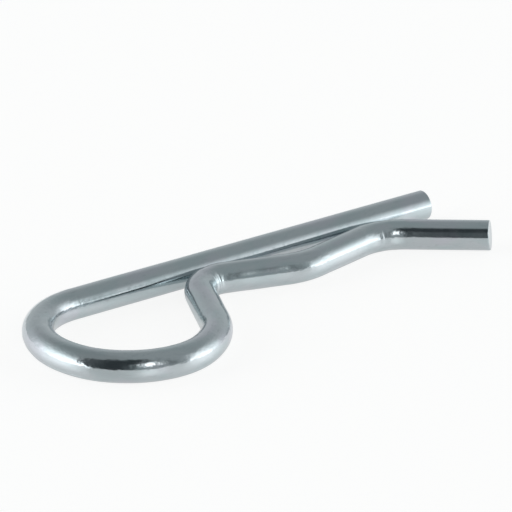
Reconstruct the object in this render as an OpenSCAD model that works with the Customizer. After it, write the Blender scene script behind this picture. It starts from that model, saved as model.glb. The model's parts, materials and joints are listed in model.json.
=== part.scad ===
// Hitch pin clip (R-clip): one round spring wire, bent flat.
// The straight leg goes through the cross hole of a hitch pin and the waved leg snaps round the
// outside of it. The wire is drawn stretch by stretch, each between two places where it bends
// differently or flexes. All lengths are in millimetres and all angles in degrees.
//
// Frame: the clip lies flat, +Z up, with Z = 0 on the wire's axis. +X runs along the straight leg
// to its free end. The origin is on the straight leg's axis, level with the deepest point of the
// pin seat, where the axis of a seated hitch pin crosses it. The waved leg is on the -Y side.

/* [Wire] */
// Diameter of the spring wire
wire_d = 4; // [3.4:0.1:4.4]
// Chamfer on the two cropped ends
crop_chamfer = 0.35; // [0.1:0.05:0.6]
// Diameter of the hitch pin that the clip fits, which sets the hollow of the pin seat
hitch_pin_d = 16; // [14:0.5:17]

/* [Straight leg] */
// Length of the straight leg from the heel bend to its free end
straight_run = 55.3; // [50:0.1:62]

/* [Bow] */
// Centreline radius of the heel bend, next to the straight leg
heel_r = 9.2; // [8.5:0.1:10]
// Turn of the heel bend
heel_turn = 73; // [68:1:78]
// Centreline radius of the wide far side of the bow
bow_r = 11.4; // [10.8:0.1:12.2]
// Turn of the wide far side of the bow
bow_turn = 78; // [72:1:82]
// Centreline radius of the shoulder, where the bow comes back to the straight leg
shoulder_r = 10.6; // [10:0.1:11.2]
// Angle between the return run and the straight leg
return_tilt = 67.5; // [62:0.5:72]

/* [Waved leg] */
// Centreline radius of the tight neck bend
neck_r = 4.5; // [4:0.1:5]
// Clearance between the neck and the straight leg
neck_gap = 0.15; // [0.1:0.05:0.5]
// Angle at which the throat run falls away from the straight leg
throat_tilt = 16.5; // [15:0.5:18]
// Length of the straight wire between the neck and the pin seat
throat_run = 8.3; // [7.5:0.1:9]
// Angle at which the ramp climbs back towards the straight leg
ramp_tilt = 12; // [11:0.5:13]
// Gap between the crown and the straight leg, at the narrowest point of the mouth
crown_gap = 1; // [0.6:0.1:1.4]
// Centreline radius of the crown bend
crown_r = 8.1; // [7.5:0.1:9]
// Angle of the lead-in tail away from the straight leg
tail_tilt = 37; // [33:0.5:40]
// Length of the lead-in tail
tail_run = 11.1; // [9:0.1:13]

/* [Hidden] */
$fn = 96;
wire_r = wire_d / 2;
hitch_pin_r = hitch_pin_d / 2;
seat_r = hitch_pin_r + wire_r;
zinc = "lightsteelblue";

// Headings of the wire, counted from +X and followed from the heel bend to the tail
leg_heading = 180;
bow_heading = leg_heading + heel_turn;
shoulder_heading = bow_heading + bow_turn;
return_heading = 360 + return_tilt;
throat_heading = 360 - throat_tilt;
ramp_heading = 360 + ramp_tilt;
tail_heading = 360 - tail_tilt;
shoulder_turn = return_heading - shoulder_heading;

// How far a left-hand bend carries the wire in Y between two headings
function climb(r, from, to) = r * (cos(from) - cos(to));

// The return run is as long as it takes for the neck to stop neck_gap short of the straight leg.
bow_end_y = climb(heel_r, leg_heading, bow_heading)
    + climb(bow_r, bow_heading, shoulder_heading)
    + climb(shoulder_r, shoulder_heading, return_heading);
neck_y = -(wire_d + neck_gap);
return_run = (neck_y - bow_end_y - neck_r * (1 - cos(return_tilt))) / sin(return_tilt);

// The ramp is as long as it takes for the crown to stop crown_gap short of the straight leg.
seat_y = neck_y - (neck_r + seat_r) * (1 - cos(throat_tilt)) - throat_run * sin(throat_tilt);
crown_y = -(wire_d + crown_gap);
ramp_run = (crown_y - seat_y - (seat_r + crown_r) * (1 - cos(ramp_tilt))) / sin(ramp_tilt);

// The stretches after the straight leg, in order: [name, length, centreline radius, turn]. A run
// has a length only. A bend has a radius and a turn, which is positive to the left. The three
// bends of the bow are cut in half, because the wire flexes there.
STRETCHES = [
    ["heel_bend_1", 0, heel_r, heel_turn / 2],
    ["heel_bend_2", 0, heel_r, heel_turn / 2],
    ["bow_1", 0, bow_r, bow_turn / 2],
    ["bow_2", 0, bow_r, bow_turn / 2],
    ["shoulder_1", 0, shoulder_r, shoulder_turn / 2],
    ["shoulder_2", 0, shoulder_r, shoulder_turn / 2],
    ["return_run", return_run, 0, 0],
    ["neck_bend", 0, neck_r, throat_heading - return_heading],
    ["throat_run", throat_run, 0, 0],
    ["pin_seat", 0, seat_r, ramp_heading - throat_heading],
    ["ramp", ramp_run, 0, 0],
    ["crown_bend", 0, crown_r, tail_heading - ramp_heading],
    ["tail", tail_run, 0, 0]
];
function number_of(name) = search([name], STRETCHES)[0];

// Where a run or a bend ends, as [x, y, heading], when it starts at the same kind of place
function end_of_run(place, run) =
    [place.x + run * cos(place[2]), place.y + run * sin(place[2]), place[2]];
function end_of_bend(place, r, turn) =
    let (side = sign(turn), heading = place[2] + turn)
    [
        place.x + side * r * (sin(heading) - sin(place[2])),
        place.y + side * r * (cos(place[2]) - cos(heading)),
        heading
    ];
function end_of(place, s) = s[3] == 0 ? end_of_run(place, s[1]) : end_of_bend(place, s[2], s[3]);

// Where stretch k starts, when the first one starts at the place called from
function start_of(k, from) = k == 0 ? from : end_of(start_of(k - 1, from), STRETCHES[k - 1]);

// The deepest point of the seat lies straight in front of the centre of its bend. The heel bend
// starts as far behind X = 0 as that point would lie in front of it.
seat_start = start_of(number_of("pin_seat"), [0, 0, leg_heading]);
heel_x = seat_r * sin(seat_start[2]) - seat_start.x;
heel_start = [heel_x, 0, leg_heading];

// A straight stretch of wire from the origin towards +X, which may end in a chamfered, cropped end
module run(length, cropped = false) {
    round_length = length - (cropped ? crop_chamfer : 0);
    rotate([0, 90, 0]) union() {
        cylinder(h = round_length, r = wire_r);
        if (cropped)
            translate([0, 0, round_length])
                cylinder(h = crop_chamfer, r1 = wire_r, r2 = wire_r - crop_chamfer);
    }
}

// A bent stretch of wire that leaves the origin towards +X
module bend(r, turn) {
    first = turn > 0 ? -90 : 90 + turn;
    translate([0, sign(turn) * r, 0]) rotate([0, 0, first])
        rotate_extrude(angle = abs(turn)) translate([r, 0]) circle(r = wire_r);
}

// The named stretch of wire, in its place
module wire(name, cropped = false) {
    k = number_of(name);
    stretch = STRETCHES[k];
    place = start_of(k, heel_start);
    color(zinc) translate([place.x, place.y, 0]) rotate([0, 0, place[2]]) {
        if (stretch[3] == 0) run(stretch[1], cropped);
        if (stretch[3] != 0) bend(stretch[2], stretch[3]);
    }
}

// The part of the straight leg that goes through the hitch pin, up to its cropped free end
module pin_leg() {
    color(zinc) translate([-hitch_pin_r, 0, 0])
        run(hitch_pin_r + heel_x + straight_run, cropped = true);
}

// The part of the straight leg between the hitch pin and the heel bend
module leg_root() {
    color(zinc) translate([heel_x, 0, 0]) run(-heel_x - hitch_pin_r);
}

// Two halves of the bend that leads from the straight leg into the bow
module heel_bend_1() {
    wire("heel_bend_1");
}
module heel_bend_2() {
    wire("heel_bend_2");
}

// Two halves of the wide far side of the bow, where a finger pulls
module bow_1() {
    wire("bow_1");
}
module bow_2() {
    wire("bow_2");
}

// Two halves of the bend that brings the bow back towards the straight leg
module shoulder_1() {
    wire("shoulder_1");
}
module shoulder_2() {
    wire("shoulder_2");
}

// Short run that closes the bow
module return_wire() {
    wire("return_run");
}

// Tight bend beside the straight leg, where the waved leg begins
module neck_bend() {
    wire("neck_bend");
}

// Run that falls away from the straight leg towards the seat
module throat_wire() {
    wire("throat_run");
}

// Hollow of the wave, which holds the outside of the hitch pin
module pin_seat() {
    wire("pin_seat");
}

// Run that climbs back towards the straight leg and keeps the hitch pin in the seat
module ramp() {
    wire("ramp");
}

// Bend at the narrowest point of the mouth
module crown_bend() {
    wire("crown_bend");
}

// Lead-in end that the hitch pin pushes aside, with its cropped tip
module tail() {
    wire("tail", cropped = true);
}

pin_leg();
leg_root();
heel_bend_1();
heel_bend_2();
bow_1();
bow_2();
shoulder_1();
shoulder_2();
return_wire();  // return_run
neck_bend();
throat_wire();  // throat_run
pin_seat();
ramp();
crown_bend();
tail();
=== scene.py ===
import json
import math

import bpy
import numpy as np
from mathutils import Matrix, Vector


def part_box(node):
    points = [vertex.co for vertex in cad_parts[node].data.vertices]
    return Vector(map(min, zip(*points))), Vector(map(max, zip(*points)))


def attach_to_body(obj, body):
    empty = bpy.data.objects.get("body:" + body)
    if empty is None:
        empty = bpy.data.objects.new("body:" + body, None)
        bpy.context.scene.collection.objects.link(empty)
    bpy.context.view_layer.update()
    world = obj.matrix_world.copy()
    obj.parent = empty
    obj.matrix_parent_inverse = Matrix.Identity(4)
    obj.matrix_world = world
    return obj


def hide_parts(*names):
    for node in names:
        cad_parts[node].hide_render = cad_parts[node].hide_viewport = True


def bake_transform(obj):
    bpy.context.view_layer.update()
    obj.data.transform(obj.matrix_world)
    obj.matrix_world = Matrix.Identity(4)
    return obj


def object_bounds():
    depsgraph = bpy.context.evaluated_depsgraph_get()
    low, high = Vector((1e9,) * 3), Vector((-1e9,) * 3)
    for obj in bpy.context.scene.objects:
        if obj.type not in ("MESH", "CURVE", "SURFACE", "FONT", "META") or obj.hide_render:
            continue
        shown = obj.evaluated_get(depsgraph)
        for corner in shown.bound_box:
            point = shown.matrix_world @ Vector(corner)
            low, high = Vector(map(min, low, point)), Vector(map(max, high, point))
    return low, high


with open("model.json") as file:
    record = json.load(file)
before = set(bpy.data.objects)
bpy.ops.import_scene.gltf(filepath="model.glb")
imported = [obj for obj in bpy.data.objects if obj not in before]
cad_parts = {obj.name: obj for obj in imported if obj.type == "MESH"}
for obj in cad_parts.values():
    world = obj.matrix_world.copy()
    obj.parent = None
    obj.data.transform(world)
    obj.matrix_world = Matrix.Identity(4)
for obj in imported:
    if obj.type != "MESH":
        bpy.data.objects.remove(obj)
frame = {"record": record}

CAD_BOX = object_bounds()
MM = 0.001

# ---------------------------------------------------------------- driving dimensions, as in the CAD
WIRE_R = 2.0 * MM
HITCH_PIN_R = 8.0 * MM
STRAIGHT_RUN = 55.3 * MM
HEEL_R, HEEL_TURN = 9.2 * MM, 73
BOW_R, BOW_TURN = 11.4 * MM, 78
SHOULDER_R, RETURN_TILT = 10.6 * MM, 67.5
NECK_R, NECK_GAP = 4.5 * MM, 0.15 * MM
THROAT_TILT, THROAT_RUN = 16.5, 8.3 * MM
RAMP_TILT, CROWN_GAP = 12, 1.0 * MM
CROWN_R = 8.1 * MM
TAIL_TILT, TAIL_RUN = 37, 11.1 * MM
SEAT_R = HITCH_PIN_R + WIRE_R

# Headings of the wire in degrees, counted from +X and followed from the heel bend to the tail
LEG_HEADING = 180
BOW_HEADING = LEG_HEADING + HEEL_TURN
SHOULDER_HEADING = BOW_HEADING + BOW_TURN
RETURN_HEADING = 360 + RETURN_TILT
THROAT_HEADING = 360 - THROAT_TILT
RAMP_HEADING = 360 + RAMP_TILT
TAIL_HEADING = 360 - TAIL_TILT
SHOULDER_TURN = RETURN_HEADING - SHOULDER_HEADING


def cosd(angle):
    return math.cos(math.radians(angle))


def sind(angle):
    return math.sin(math.radians(angle))


def climb(r, start, end):
    """How far a left-hand bend carries the wire in Y between two headings."""
    return r * (cosd(start) - cosd(end))


BOW_END_Y = (
    climb(HEEL_R, LEG_HEADING, BOW_HEADING)
    + climb(BOW_R, BOW_HEADING, SHOULDER_HEADING)
    + climb(SHOULDER_R, SHOULDER_HEADING, RETURN_HEADING)
)
NECK_Y = -(2 * WIRE_R + NECK_GAP)
RETURN_RUN = (NECK_Y - BOW_END_Y - NECK_R * (1 - cosd(RETURN_TILT))) / sind(RETURN_TILT)
SEAT_Y = NECK_Y - (NECK_R + SEAT_R) * (1 - cosd(THROAT_TILT)) - THROAT_RUN * sind(THROAT_TILT)
CROWN_Y = -(2 * WIRE_R + CROWN_GAP)
RAMP_RUN = (CROWN_Y - SEAT_Y - (SEAT_R + CROWN_R) * (1 - cosd(RAMP_TILT))) / sind(RAMP_TILT)

# The straight leg's free end, as the CAD has it
LEG_END_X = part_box("pin_leg")[1].x

# The stretches from the straight leg's free end to the tail's: (node, length, radius, turn). A run
# has a length only. A bend has a radius and a turn, which is positive to the left.
STRETCHES = [
    ("pin_leg", LEG_END_X + HITCH_PIN_R, 0, 0),
    ("leg_root", STRAIGHT_RUN - LEG_END_X - HITCH_PIN_R, 0, 0),
    ("heel_bend_1", 0, HEEL_R, HEEL_TURN / 2),
    ("heel_bend_2", 0, HEEL_R, HEEL_TURN / 2),
    ("bow_1", 0, BOW_R, BOW_TURN / 2),
    ("bow_2", 0, BOW_R, BOW_TURN / 2),
    ("shoulder_1", 0, SHOULDER_R, SHOULDER_TURN / 2),
    ("shoulder_2", 0, SHOULDER_R, SHOULDER_TURN / 2),
    ("return_run", RETURN_RUN, 0, 0),
    ("neck_bend", 0, NECK_R, THROAT_HEADING - RETURN_HEADING),
    ("throat_run", THROAT_RUN, 0, 0),
    ("pin_seat", 0, SEAT_R, RAMP_HEADING - THROAT_HEADING),
    ("ramp", RAMP_RUN, 0, 0),
    ("crown_bend", 0, CROWN_R, TAIL_HEADING - RAMP_HEADING),
    ("tail", TAIL_RUN, 0, 0),
]
NAMES = [s[0] for s in STRETCHES]

# The stretches that bend between two bodies when the clip opens, with those two bodies. Each pair
# shares one bend. Here they follow neither body and stay where they lie at rest.
FLEXING = {
    ("heel_bend_1", "heel_bend_2"): ("leg", "heel"),
    ("bow_1", "bow_2"): ("heel", "bow"),
    ("shoulder_1", "shoulder_2"): ("bow", "waved_leg"),
}

# ---------------------------------------------------------------- camera
VIEW_TARGET = Vector((-3.55, -1.007, 0.0)) * MM
VIEW_DISTANCE = 451.47 * MM
VIEW_ELEVATION = 23.66
VIEW_PLAN_ANGLE = 35.28      # from +Y towards +X, the way the camera looks in plan
LENS, SENSOR = 246.09, 36.0


def make_camera():
    ahead = Vector((
        sind(VIEW_PLAN_ANGLE) * cosd(VIEW_ELEVATION),
        cosd(VIEW_PLAN_ANGLE) * cosd(VIEW_ELEVATION),
        -sind(VIEW_ELEVATION),
    ))
    data = bpy.data.cameras.new("camera")
    data.lens = LENS
    data.sensor_width = SENSOR
    data.clip_start = 0.02
    data.clip_end = 20.0
    camera = bpy.data.objects.new("camera", data)
    camera.location = VIEW_TARGET - VIEW_DISTANCE * ahead
    camera.rotation_mode = "QUATERNION"
    camera.rotation_quaternion = ahead.to_track_quat("-Z", "Y")
    bpy.context.scene.collection.objects.link(camera)
    bpy.context.scene.camera = camera


# ---------------------------------------------------------------- the wire's centreline
SIDES = 72
RING_STEP = {"run": 0.40 * MM, "bend": 0.30 * MM, "tight": 0.11 * MM}
TIGHT_BENDS = ("neck_bend", "crown_bend")


def place_after(place, stretch, share=1.0):
    """Where the wire is after a share of a stretch that starts at place: (x, y, heading)."""
    x, y, heading = place
    _, length, radius, turn = stretch
    if turn == 0:
        return (x + share * length * cosd(heading), y + share * length * sind(heading), heading)
    side = math.copysign(1, turn)
    turned = heading + share * turn
    return (
        x + side * radius * (sind(turned) - sind(heading)),
        y + side * radius * (cosd(heading) - cosd(turned)),
        turned,
    )


def length_of(stretch):
    return stretch[1] or stretch[2] * abs(math.radians(stretch[3]))


def follow_wire():
    """Rings along the whole wire: the (x, y, heading) of each, how far along the wire each is, and
    the first and last ring of each stretch. Neighbours share the ring between them."""
    place, along = (LEG_END_X, 0.0, LEG_HEADING), 0.0
    places, lengths, first_last = [place], [0.0], {}
    for stretch in STRETCHES:
        total = length_of(stretch)
        kind = "run" if stretch[3] == 0 else "tight" if stretch[0] in TIGHT_BENDS else "bend"
        count = math.ceil(total / RING_STEP[kind])
        first = len(places) - 1
        for k in range(1, count + 1):
            places.append(place_after(place, stretch, k / count))
            lengths.append(along + total * k / count)
        place, along = places[-1], along + total
        first_last[stretch[0]] = (first, len(places) - 1)
    return np.array(places), np.array(lengths), first_last


PLACES, ALONG, RINGS = follow_wire()


# ---------------------------------------------------------------- the wire's surface
def smooth(t):
    t = np.clip(t, 0, 1)
    return t * t * (3 - 2 * t)


def waves(rng, along, angle, count, shortest, longest):
    """A sum of soft waves along and round the wire, about 1 high."""
    total = np.zeros(np.broadcast(along, angle).shape)
    for _ in range(count):
        length = math.exp(rng.uniform(math.log(shortest), math.log(longest)))
        lobes = rng.integers(0, 4)
        phase, turned = rng.uniform(0, 2 * math.pi, 2)
        total += np.sin(2 * math.pi * along / length + phase) * np.cos(lobes * angle + turned)
    return total / math.sqrt(count / 2)


def along_at(name, share):
    """How far along the wire a share of a stretch is."""
    first, last = RINGS[name]
    return ALONG[first] + share * (ALONG[last] - ALONG[first])


FLAT_FADE = 0.6              # the share of a flat's reach round the wire over which it runs out


def pressed(along, angle, place, width, side, reach, edge):
    """A flat that a bending tool leaves: 1 over its width, gone past it. side is the middle of it
    round the wire and reach how far it goes each way, in degrees."""
    lengthwise = smooth((1 - np.abs(along - place) / (width / 2)) / edge)
    off = np.degrees(np.abs((angle - math.radians(side) + math.pi) % (2 * math.pi) - math.pi))
    return lengthwise * smooth((reach - off) / (FLAT_FADE * reach))


# Sides of the wire, in degrees round its section from the left of its travel towards +Z
LEFT_SIDE, RIGHT_SIDE = 0, 180

# Flats from bending tools: (stretch, share along it, width, side, reach, depth, edge). The edge is
# the share of half the width over which the flat runs out.
TOOL_MARKS = [
    ("crown_bend", 0.60, 3.60 * MM, RIGHT_SIDE, 95, 0.040 * MM, 1.0),
    ("crown_bend", 0.44, 0.60 * MM, RIGHT_SIDE, 70, 0.016 * MM, 0.45),
    ("neck_bend", 0.46, 0.85 * MM, RIGHT_SIDE, 75, 0.055 * MM, 0.5),
    ("neck_bend", 0.66, 0.75 * MM, RIGHT_SIDE, 70, 0.050 * MM, 0.5),
    ("throat_run", 0.20, 4.80 * MM, RIGHT_SIDE, 90, 0.050 * MM, 1.0),
    ("heel_bend_1", 0.70, 1.60 * MM, LEFT_SIDE, 60, 0.015 * MM, 0.45),
    ("shoulder_2", 0.60, 1.80 * MM, LEFT_SIDE, 60, 0.015 * MM, 0.45),
]


# Soft waves of the surface: (height, how many, shortest, longest). A run that bending has left
# alone keeps a share of their height.
SURFACE_WAVES = [
    (0.010 * MM, 9, 6 * MM, 24 * MM),
    (0.0035 * MM, 9, 1.8 * MM, 4.5 * MM),
]
WAVES_IN_RUNS = 0.35
WAVES_SEED = 11


def relief(along, angle, worked):
    """How far the surface stands off the ideal round wire, in metres."""
    rng = np.random.default_rng(WAVES_SEED)
    off = 0.0
    for height, count, shortest, longest in SURFACE_WAVES:
        off = off + height * waves(rng, along, angle, count, shortest, longest)
    off *= WAVES_IN_RUNS + (1 - WAVES_IN_RUNS) * worked
    for name, share, width, side, reach, depth, edge in TOOL_MARKS:
        off -= depth * pressed(along, angle, along_at(name, share), width, side, reach, edge)
    return off


# The bow isn't quite made of arcs. Near the end of shoulder_1 it lies a little outside them.
SWAY = 0.15 * MM
SWAY_WIDTH = 11.0 * MM
SWAY_PLACE = ("shoulder_1", 0.80)


def sway():
    """How far each ring lies to the right of its place in the CAD, as the wire travels."""
    return SWAY * smooth(1 - np.abs(ALONG - along_at(*SWAY_PLACE)) / (SWAY_WIDTH / 2))


# ---------------------------------------------------------------- the cropped ends
CROP_ROUND = 0.13 * MM       # lip of a cropped end
CROP_STEPS = 5
FACE_STEPS = 6
FACE_DISH = 0.05 * MM        # how deep the middle of a cropped face lies
CROP_REACH = 4 * MM          # the rings this near to an end lean over to meet a slanted cut

# The cut ends: (first or last ring, way out of the wire, side that the shear left short, slant,
# reach past the CAD's end). The side is counted round the section, and both angles are in degrees.
TAIL_SHORT_SIDE = 140
CROPS = [
    (0, -1, LEFT_SIDE, 1.5, 0.18 * MM),
    (-1, 1, TAIL_SHORT_SIDE, 9.0, 0.10 * MM),
]


def tangent(ring):
    heading = PLACES[ring, 2]
    return np.array([cosd(heading), sind(heading), 0.0])


def leftward(ring):
    heading = PLACES[ring, 2]
    return np.array([-sind(heading), cosd(heading), 0.0])


def slant_ends(points):
    """Draws the rings near each end back from it, to leave room for the lip and to slant the cut.
    The long side of the cut then lies at the CAD's end, or its reach past that."""
    for ring, way, short_side, slant, reach in CROPS:
        toward_short = leftward(ring) * cosd(short_side) + np.array([0, 0, sind(short_side)])
        lean = smooth(1 - np.abs(ALONG - ALONG[ring]) / CROP_REACH)
        offset = (points - points.mean(1, keepdims=True)) @ toward_short
        back = math.tan(math.radians(slant)) * (offset + WIRE_R) + CROP_ROUND - reach
        back *= lean[:, None]
        points -= back[..., None] * (way * tangent(ring))


def crop_profile():
    """A cropped end from the wire's side towards the middle of its face, as (share of the wire's
    radius, length beyond the last ring): a round lip, then a slightly dished face."""
    profile = []
    for k in range(1, CROP_STEPS + 1):
        turn = math.pi / 2 * k / CROP_STEPS
        inset = CROP_ROUND * (1 - math.cos(turn)) / WIRE_R
        profile.append((1 - inset, CROP_ROUND * math.sin(turn)))
    rim = profile[-1][0]
    for k in range(1, FACE_STEPS):
        share = 1 - k / FACE_STEPS
        profile.append((rim * share, CROP_ROUND - FACE_DISH * (1 - share ** 2)))
    return profile


def end_rings(ring, way_out):
    """Rings over a cropped end, which shrink towards the middle of its face."""
    centre = ring.mean(0)
    spoke = ring - centre
    plane = np.cross(spoke[0], spoke[SIDES // 4])
    plane *= math.copysign(1, plane @ way_out) / np.linalg.norm(plane)
    return [centre + spoke * share + plane * ahead for share, ahead in crop_profile()]


# ---------------------------------------------------------------- the wire as one grid
WORKED_REACH = 2.0 * MM      # how far a bend roughens the runs next to it


def unit(vectors):
    return vectors / np.linalg.norm(vectors, axis=-1, keepdims=True)


def wire_grid():
    """The whole wire as grids with a row per ring and a column per side: points, normals and
    straightened coordinates, which give each point its place on the wire before it was bent."""
    angle = np.arange(SIDES) * (2 * math.pi / SIDES)
    left = np.array([leftward(k) for k in range(len(PLACES))])
    out = np.cos(angle)[None, :, None] * left[:, None, :]
    out[..., 2] = np.sin(angle)
    centre = np.column_stack([PLACES[:, :2], np.zeros(len(PLACES))]) - sway()[:, None] * left
    worked = worked_by_bending()
    radius = WIRE_R + relief(ALONG[:, None], angle[None, :], worked[:, None])
    points = centre[:, None, :] + radius[..., None] * out
    slant_ends(points)
    section = np.column_stack([np.zeros(SIDES), WIRE_R * np.cos(angle), WIRE_R * np.sin(angle)])
    straight = np.array([section + [along, 0, 0] for along in ALONG])
    first = end_rings(points[0], -tangent(0))
    last = end_rings(points[-1], tangent(-1))
    over = [section * [0, share, share] + [ahead, 0, 0] for share, ahead in crop_profile()]
    straight_first = [ring * [-1, 1, 1] for ring in over]
    straight_last = [ring + [ALONG[-1], 0, 0] for ring in over]
    points = np.array(first[::-1] + list(points) + last)
    straight = np.array(straight_first[::-1] + list(straight) + straight_last)
    worked = np.pad(worked, len(first), "edge")
    return points, grid_normals(points), straight, worked, len(first)


def worked_by_bending():
    """How much bending has roughened the wire's skin: 1 in the bends and 0 in the runs."""
    worked = np.zeros(len(ALONG))
    for name, _, _, turn in STRETCHES:
        if turn != 0:
            start, end = ALONG[list(RINGS[name])]
            past = np.maximum(start - ALONG, ALONG - end)
            worked = np.maximum(worked, smooth(1 - past / WORKED_REACH))
    return worked


def grid_normals(points):
    """Normals of a grid of rings. They come from the neighbouring rings, whichever stretch those
    belong to, so that two pieces that meet at a ring are shaded alike there."""
    lengthwise = np.gradient(points, axis=0)
    across = np.roll(points, -1, axis=1) - np.roll(points, 1, axis=1)
    return unit(np.cross(across, lengthwise))


# ---------------------------------------------------------------- meshes
def stretch_mesh(name, points, normals, straight, worked, caps):
    """One stretch as a closed mesh: its rings and a flat cap on each end, which faces the way that
    caps gives."""
    count = len(points)
    verts = list(points.reshape(-1, 3))
    corner_normals = normals.reshape(-1, 3)
    coords = list(straight.reshape(-1, 3))
    skin = list(np.repeat(worked, SIDES))
    faces, loop_normals = [], []
    for i in range(count - 1):
        for j in range(SIDES):
            k = (j + 1) % SIDES
            face = [i * SIDES + j, i * SIDES + k, (i + 1) * SIDES + k, (i + 1) * SIDES + j]
            faces.append(face)
            loop_normals += [corner_normals[v] for v in face]
    for ring, cap in ((0, caps[0]), (count - 1, caps[1])):
        tip = len(verts)
        verts.append(points[ring].mean(0))
        coords.append(straight[ring].mean(0))
        skin.append(worked[ring])
        for j in range(SIDES):
            edge = [ring * SIDES + j, ring * SIDES + (j + 1) % SIDES]
            faces.append((edge[::-1] if ring == 0 else edge) + [tip])
            loop_normals += [cap] * 3
    return mesh_object(name, verts, faces, loop_normals, coords, skin)


def mesh_object(name, verts, faces, loop_normals, coords, skin):
    mesh = bpy.data.meshes.new(name + "_wire")
    mesh.from_pydata([tuple(v) for v in verts], [], [tuple(f) for f in faces])
    attribute = mesh.attributes.new("straight", "FLOAT_VECTOR", "POINT")
    attribute.data.foreach_set("vector", np.array(coords, np.float32).ravel())
    attribute = mesh.attributes.new("worked", "FLOAT", "POINT")
    attribute.data.foreach_set("value", np.array(skin, np.float32))
    mesh.polygons.foreach_set("use_smooth", [True] * len(faces))
    mesh.normals_split_custom_set([tuple(n) for n in loop_normals])
    obj = bpy.data.objects.new(name + "_wire", mesh)
    bpy.context.scene.collection.objects.link(obj)
    return obj


# ---------------------------------------------------------------- node helpers
def feed(tree, node_input, value):
    """Links another node's output to an input, or sets the input to a plain value."""
    if isinstance(value, bpy.types.NodeSocket):
        tree.links.new(value, node_input)
    else:
        node_input.default_value = value


def maths(tree, operation, *inputs):
    node = tree.nodes.new("ShaderNodeMath")
    node.operation = operation
    for k, value in enumerate(inputs):
        feed(tree, node.inputs[k], value)
    return node.outputs[0]


def both(tree, first, second):
    return maths(tree, "MULTIPLY", first, second)


def times(tree, value, factor, plus=0.0):
    return maths(tree, "MULTIPLY_ADD", value, factor, plus)


def soft_step(tree, value, low, high):
    """0 below low, 1 above high and smooth between. With low above high it runs the other way."""
    node = tree.nodes.new("ShaderNodeMapRange")
    node.interpolation_type = "SMOOTHSTEP"
    feed(tree, node.inputs["Value"], value)
    node.inputs["From Min"].default_value = min(low, high)
    node.inputs["From Max"].default_value = max(low, high)
    node.inputs["To Min"].default_value = 0.0 if low < high else 1.0
    node.inputs["To Max"].default_value = 1.0 if low < high else 0.0
    return node.outputs["Result"]


def window(tree, value, low, low_soft, high, high_soft):
    """1 between low and high and 0 outside, with an edge that is soft for so much on either side."""
    rise = soft_step(tree, value, low - low_soft, low + low_soft)
    fall = soft_step(tree, value, high + high_soft, high - high_soft)
    return both(tree, rise, fall)


def mix_colour(tree, share, first, second):
    node = tree.nodes.new("ShaderNodeMix")
    node.data_type = "RGBA"
    feed(tree, node.inputs["Factor"], share)
    feed(tree, node.inputs["A"], first)
    feed(tree, node.inputs["B"], second)
    colours = [s for s in node.outputs if s.type == "RGBA"]
    return colours[0]


# ---------------------------------------------------------------- zinc plated wire
SEED_STEP = (3.1, 1.7, 2.3)  # how far apart the noises of two seeds are taken


def noise(tree, coords, scale, stretch, detail, seed):
    """Noise over the straightened wire. scale is about how many grains there are to a metre, and
    stretch how much longer a grain is along the wire."""
    mapping = tree.nodes.new("ShaderNodeMapping")
    mapping.inputs["Location"].default_value = [seed * step for step in SEED_STEP]
    mapping.inputs["Scale"].default_value = (scale / stretch, scale, scale)
    tree.links.new(coords, mapping.inputs["Vector"])
    node = tree.nodes.new("ShaderNodeTexNoise")
    node.inputs["Scale"].default_value = 1.0
    node.inputs["Detail"].default_value = detail
    tree.links.new(mapping.outputs["Vector"], node.inputs["Vector"])
    return node.outputs["Fac"]


ZINC = (0.575, 0.622, 0.645, 1)
ZINC_COOL = (0.535, 0.605, 0.625, 1)
ZINC_VIOLET = (0.590, 0.612, 0.655, 1)
ZINC_DULL = (0.50, 0.545, 0.565, 1)
DULLEST = 0.55               # how dull the dullest specks are, out of 1
ROUGHNESS = 0.075            # of the glossiest spots
CLOUD_ROUGHNESS = 0.12       # what clouds, drawn lines and dull specks add to it at the most
LINE_ROUGHNESS = 0.04
SPECK_ROUGHNESS = 0.12
SKIN_IN_RUNS = 0.22          # the share of ripples and orange peel that a straight run has
LINE_DEPTH = 0.0010 * MM
RIPPLE_DEPTH = 0.032 * MM
PEEL_DEPTH = 0.028 * MM


def bump(tree, height, distance, normal=None):
    node = tree.nodes.new("ShaderNodeBump")
    node.inputs["Distance"].default_value = distance
    tree.links.new(height, node.inputs["Height"])
    if normal is not None:
        tree.links.new(normal, node.inputs["Normal"])
    return node.outputs["Normal"]


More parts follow.
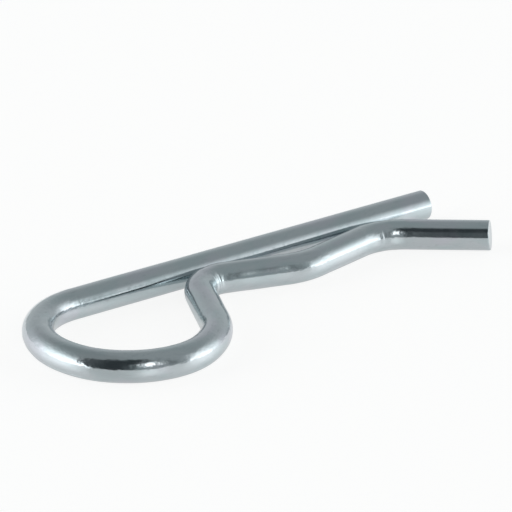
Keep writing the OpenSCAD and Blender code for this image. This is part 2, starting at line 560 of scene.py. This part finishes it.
def zinc_material():
    material = bpy.data.materials.new("bright_zinc")
    material.use_nodes = True
    tree = material.node_tree
    shader = tree.nodes["Principled BSDF"]
    attribute = tree.nodes.new("ShaderNodeAttribute")
    attribute.attribute_name = "straight"
    coords = attribute.outputs["Vector"]

    # Colour: patches of the clear passivation over the zinc, a few millimetres long
    patches = noise(tree, coords, scale=420, stretch=2.5, detail=3, seed=1)
    violet = noise(tree, coords, scale=300, stretch=2.0, detail=2, seed=2)
    cool = mix_colour(tree, soft_step(tree, patches, 0.42, 0.62), ZINC, ZINC_COOL)
    tinted = mix_colour(tree, soft_step(tree, violet, 0.5, 0.7), cool, ZINC_VIOLET)
    specks = noise(tree, coords, scale=2600, stretch=3.0, detail=3, seed=3)
    dull = both(tree, soft_step(tree, specks, 0.56, 0.74), DULLEST)
    colour = mix_colour(tree, dull, tinted, ZINC_DULL)
    tree.links.new(colour, shader.inputs["Base Color"])
    shader.inputs["Metallic"].default_value = 1.0

    # Gloss: cloudy, with drawn lines along the wire
    cloud = noise(tree, coords, scale=700, stretch=1.6, detail=3, seed=4)
    lines = noise(tree, coords, scale=5200, stretch=60.0, detail=2, seed=5)
    rough = times(tree, cloud, CLOUD_ROUGHNESS, ROUGHNESS)
    rough = times(tree, lines, LINE_ROUGHNESS, rough)
    rough = times(tree, dull, SPECK_ROUGHNESS, rough)
    tree.links.new(rough, shader.inputs["Roughness"])

    # Relief too fine for the mesh: drawn lines, orange peel and small ripples, stronger where the
    # wire was bent
    worked = tree.nodes.new("ShaderNodeAttribute")
    worked.attribute_name = "worked"
    skin = times(tree, worked.outputs["Fac"], 1 - SKIN_IN_RUNS, SKIN_IN_RUNS)
    peel = noise(tree, coords, scale=2300, stretch=1.4, detail=2, seed=6)
    ripple = noise(tree, coords, scale=900, stretch=1.8, detail=2, seed=7)
    normal = bump(tree, lines, LINE_DEPTH)
    normal = bump(tree, both(tree, ripple, skin), RIPPLE_DEPTH, normal)
    normal = bump(tree, both(tree, peel, skin), PEEL_DEPTH, normal)
    tree.links.new(normal, shader.inputs["Normal"])
    return material


# ---------------------------------------------------------------- studio
FLOOR_HALF = 2.5             # half of the table top's width, in metres
FLOOR_TO_CAMERA = 0.84       # brightness of the floor as the camera sees it
FLOOR_LIGHT = (1.0, 0.998, 0.992, 1)
FLOOR_PAPER = (0.30, 0.30, 0.30, 1)
FLOOR_IN_METAL = 0.555       # brightness of the floor as the metal mirrors it
FLOOR_LIGHT_IN_METAL = (1.0, 0.995, 0.99, 1)
FLOOR_GLARE = (0.72, 0.72, 0.72, 1)
FLOOR_GLARE_ROUGHNESS = 0.42
FLOOR_SHADE_REACH = 7 * MM   # how near to the wire the floor lies in its shade
FLOOR_SHADE = 0.65           # how much of the glare the deepest shade takes away
CEILING_GREY = (0.340, 0.372, 0.380, 1)
CEILING_LEFT = (0.290, 0.315, 0.322, 1)
DARK_ROOM = (0.034, 0.042, 0.046, 1)
DARK_LEFT = (0.085, 0.095, 0.100, 1)
DARK_CORNER = (0.190, 0.208, 0.215, 1)
HORIZON_GREY = (0.53, 0.56, 0.57, 1)
GLOW_GREY = (0.60, 0.64, 0.65, 1)
SOFTBOX = (2.25, 2.30, 2.33, 1)
RIGHT_SOFTBOX = (2.10, 2.15, 2.18, 1)
NEAR_EDGE_DIMMED = 0.35      # how much dimmer the right softbox is at its near edge
LAMP = (2.7, 2.7, 2.7, 1)
WHITE = (1, 1, 1, 1)
BLACK = (0, 0, 0, 1)


def direction_of_light(tree):
    """Which way the world is looked at from the clip, as (azimuth, elevation) in degrees. Azimuth 0
    is towards the camera and 90 to its right, and elevation is above the floor."""
    direction = tree.nodes.new("ShaderNodeTexCoord").outputs["Generated"]
    split = tree.nodes.new("ShaderNodeSeparateXYZ")
    tree.links.new(direction, split.inputs[0])
    x, y, z = split.outputs
    y_right = both(tree, y, -sind(VIEW_PLAN_ANGLE))
    y_near = both(tree, y, -cosd(VIEW_PLAN_ANGLE))
    right = times(tree, x, cosd(VIEW_PLAN_ANGLE), y_right)
    near = times(tree, x, -sind(VIEW_PLAN_ANGLE), y_near)
    azimuth = maths(tree, "DEGREES", maths(tree, "ARCTAN2", right, near))
    return azimuth, maths(tree, "DEGREES", maths(tree, "ARCSINE", z))


# Where each thing in the room lies is said in degrees of azimuth and elevation.
def walls(tree, azimuth, elevation):
    """Grey walls and ceiling, a little darker on the left and lighter low down behind the clip."""
    on_left = window(tree, azimuth, -160, 20, -35, 15)
    sky = mix_colour(tree, on_left, CEILING_GREY, CEILING_LEFT)
    away = soft_step(tree, maths(tree, "ABSOLUTE", azimuth), 90, 122)
    behind = both(tree, away, soft_step(tree, elevation, 54, 10))
    sky = mix_colour(tree, behind, sky, HORIZON_GREY)
    left_wall = window(tree, azimuth, -126, 24, -78, 12)
    left_glow = both(tree, left_wall, soft_step(tree, elevation, 66, 24))
    return mix_colour(tree, left_glow, sky, GLOW_GREY)


def leaning_azimuth(tree, azimuth, elevation):
    """Azimuth as an edge counts it that leans with height: 21 degrees to the left on the way up to
    34 degrees of elevation, and 12 back again between 50 and 72."""
    leaning = times(tree, soft_step(tree, elevation, -4, 16), 9, azimuth)
    leaning = times(tree, soft_step(tree, elevation, 0, 34), 12, leaning)
    return times(tree, soft_step(tree, elevation, 50, 72), -12, leaning)


def add_dark_room(tree, sky, azimuth, elevation, leaning):
    """The dark room behind the camera, and a dim corner to the right of it."""
    past_lamp = times(tree, soft_step(tree, elevation, 34, 54), -22, azimuth)
    left_edge = soft_step(tree, leaning, -42, -34)
    right_edge = soft_step(tree, past_lamp, 18, -6)
    dark = both(tree, both(tree, left_edge, right_edge), soft_step(tree, elevation, 79, 65))
    room = mix_colour(tree, soft_step(tree, azimuth, -20, -50), DARK_ROOM, DARK_LEFT)
    sky = mix_colour(tree, dark, sky, room)
    corner_across = window(tree, azimuth, 41, 3, 51, 4)
    corner = both(tree, corner_across, window(tree, elevation, 8, 4, 50, 8))
    return mix_colour(tree, corner, sky, DARK_CORNER)


def add_left_softbox(tree, sky, azimuth, elevation, leaning):
    """A softbox to the left, which ends where the dark room begins."""
    across = both(tree, soft_step(tree, azimuth, -132, -68), soft_step(tree, leaning, -34, -42))
    box = both(tree, across, soft_step(tree, elevation, 52, 8))
    return mix_colour(tree, box, sky, SOFTBOX)


def add_right_softbox(tree, sky, azimuth, elevation):
    """A softbox to the right. It is a little wider low down, and above that its near edge is dimmer."""
    wider_low = times(tree, soft_step(tree, elevation, 20, 8), 3, azimuth)
    across = both(tree, soft_step(tree, wider_low, 65, 71), soft_step(tree, azimuth, 136, 90))
    dimmed = both(tree, soft_step(tree, azimuth, 88, 70), soft_step(tree, elevation, 4, 16))
    box = both(tree, across, times(tree, dimmed, -NEAR_EDGE_DIMMED, 1.0))
    box = both(tree, box, soft_step(tree, elevation, 48, 3))
    return mix_colour(tree, box, sky, RIGHT_SOFTBOX)


def add_lamp(tree, sky, azimuth, elevation):
    """A lamp between the two softboxes."""
    across = window(tree, azimuth, 17, 3, 29, 6)
    lamp = both(tree, across, window(tree, elevation, 22, 5, 44, 6))
    return mix_colour(tree, lamp, sky, LAMP)


def studio_world():
    """The room that the metal mirrors, all of it far away. The camera itself sees white."""
    world = bpy.data.worlds.new("studio")
    world.use_nodes = True
    bpy.context.scene.world = world
    tree = world.node_tree
    tree.nodes.clear()
    azimuth, elevation = direction_of_light(tree)
    leaning = leaning_azimuth(tree, azimuth, elevation)
    sky = walls(tree, azimuth, elevation)
    sky = add_dark_room(tree, sky, azimuth, elevation, leaning)
    sky = add_left_softbox(tree, sky, azimuth, elevation, leaning)
    sky = add_right_softbox(tree, sky, azimuth, elevation)
    sky = add_lamp(tree, sky, azimuth, elevation)
    seen = tree.nodes.new("ShaderNodeLightPath").outputs["Is Camera Ray"]
    sky = mix_colour(tree, seen, sky, WHITE)
    background = tree.nodes.new("ShaderNodeBackground")
    tree.links.new(sky, background.inputs["Color"])
    output = tree.nodes.new("ShaderNodeOutputWorld")
    tree.links.new(background.outputs[0], output.inputs["Surface"])


def floor_material():
    """A pale, lit table top. To the camera it is nearly white. What the metal mirrors of it is a
    little darker, and glares where the softboxes lie behind it, but less so in the wire's shade."""
    material = bpy.data.materials.new("pale_table")
    material.use_nodes = True
    tree = material.node_tree
    tree.nodes.clear()
    lit = tree.nodes.new("ShaderNodeEmission")
    lit.inputs["Color"].default_value = FLOOR_LIGHT
    lit.inputs["Strength"].default_value = FLOOR_TO_CAMERA
    paper = tree.nodes.new("ShaderNodeBsdfDiffuse")
    paper.inputs["Color"].default_value = FLOOR_PAPER
    to_camera = tree.nodes.new("ShaderNodeAddShader")
    tree.links.new(lit.outputs[0], to_camera.inputs[0])
    tree.links.new(paper.outputs[0], to_camera.inputs[1])
    dim = tree.nodes.new("ShaderNodeEmission")
    dim.inputs["Color"].default_value = FLOOR_LIGHT_IN_METAL
    dim.inputs["Strength"].default_value = FLOOR_IN_METAL
    glare = tree.nodes.new("ShaderNodeBsdfGlossy")
    shade = tree.nodes.new("ShaderNodeAmbientOcclusion")
    shade.inputs["Distance"].default_value = FLOOR_SHADE_REACH
    bare = times(tree, shade.outputs["AO"], FLOOR_SHADE, 1 - FLOOR_SHADE)
    colour = mix_colour(tree, bare, BLACK, FLOOR_GLARE)
    tree.links.new(colour, glare.inputs["Color"])
    glare.inputs["Roughness"].default_value = FLOOR_GLARE_ROUGHNESS
    to_metal = tree.nodes.new("ShaderNodeAddShader")
    tree.links.new(dim.outputs[0], to_metal.inputs[0])
    tree.links.new(glare.outputs[0], to_metal.inputs[1])
    seen = tree.nodes.new("ShaderNodeLightPath").outputs["Is Camera Ray"]
    chosen = tree.nodes.new("ShaderNodeMixShader")
    tree.links.new(seen, chosen.inputs[0])
    tree.links.new(to_metal.outputs[0], chosen.inputs[1])
    tree.links.new(to_camera.outputs[0], chosen.inputs[2])
    output = tree.nodes.new("ShaderNodeOutputMaterial")
    tree.links.new(chosen.outputs[0], output.inputs["Surface"])
    return material


def make_floor():
    top = CAD_BOX[0].z
    h = FLOOR_HALF
    mesh = bpy.data.meshes.new("floor")
    mesh.from_pydata([(-h, -h, top), (h, -h, top), (h, h, top), (-h, h, top)], [], [(0, 1, 2, 3)])
    floor = bpy.data.objects.new("floor", mesh)
    floor.data.materials.append(floor_material())
    bpy.context.scene.collection.objects.link(floor)


def attach(pieces):
    bodies = frame["record"]["behaviour"]["bodies"]
    home = {node: body for body, nodes in bodies.items() for node in nodes}
    for name, piece in pieces.items():
        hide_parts(name)
        pair = next((p for p in FLEXING if name in p), None)
        if pair is None:
            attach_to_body(piece, home[name])
        else:
            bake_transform(piece)


def make_wire():
    points, normals, straight, worked, before = wire_grid()
    zinc = zinc_material()
    pieces = {}
    for name in NAMES:
        first, last = (k + before for k in RINGS[name])
        caps = [-tangent(first - before), tangent(last - before)]
        if name == NAMES[0]:
            first, caps[0] = 0, unit(normals[0].mean(0))
        if name == NAMES[-1]:
            last, caps[1] = len(points) - 1, unit(normals[-1].mean(0))
        rows = slice(first, last + 1)
        grids = points[rows], normals[rows], straight[rows], worked[rows]
        pieces[name] = stretch_mesh(name, *grids, caps)
        pieces[name].data.materials.append(zinc)
    return pieces


make_camera()
studio_world()
make_floor()
attach(make_wire())
bpy.context.scene.view_settings.view_transform = "Standard"
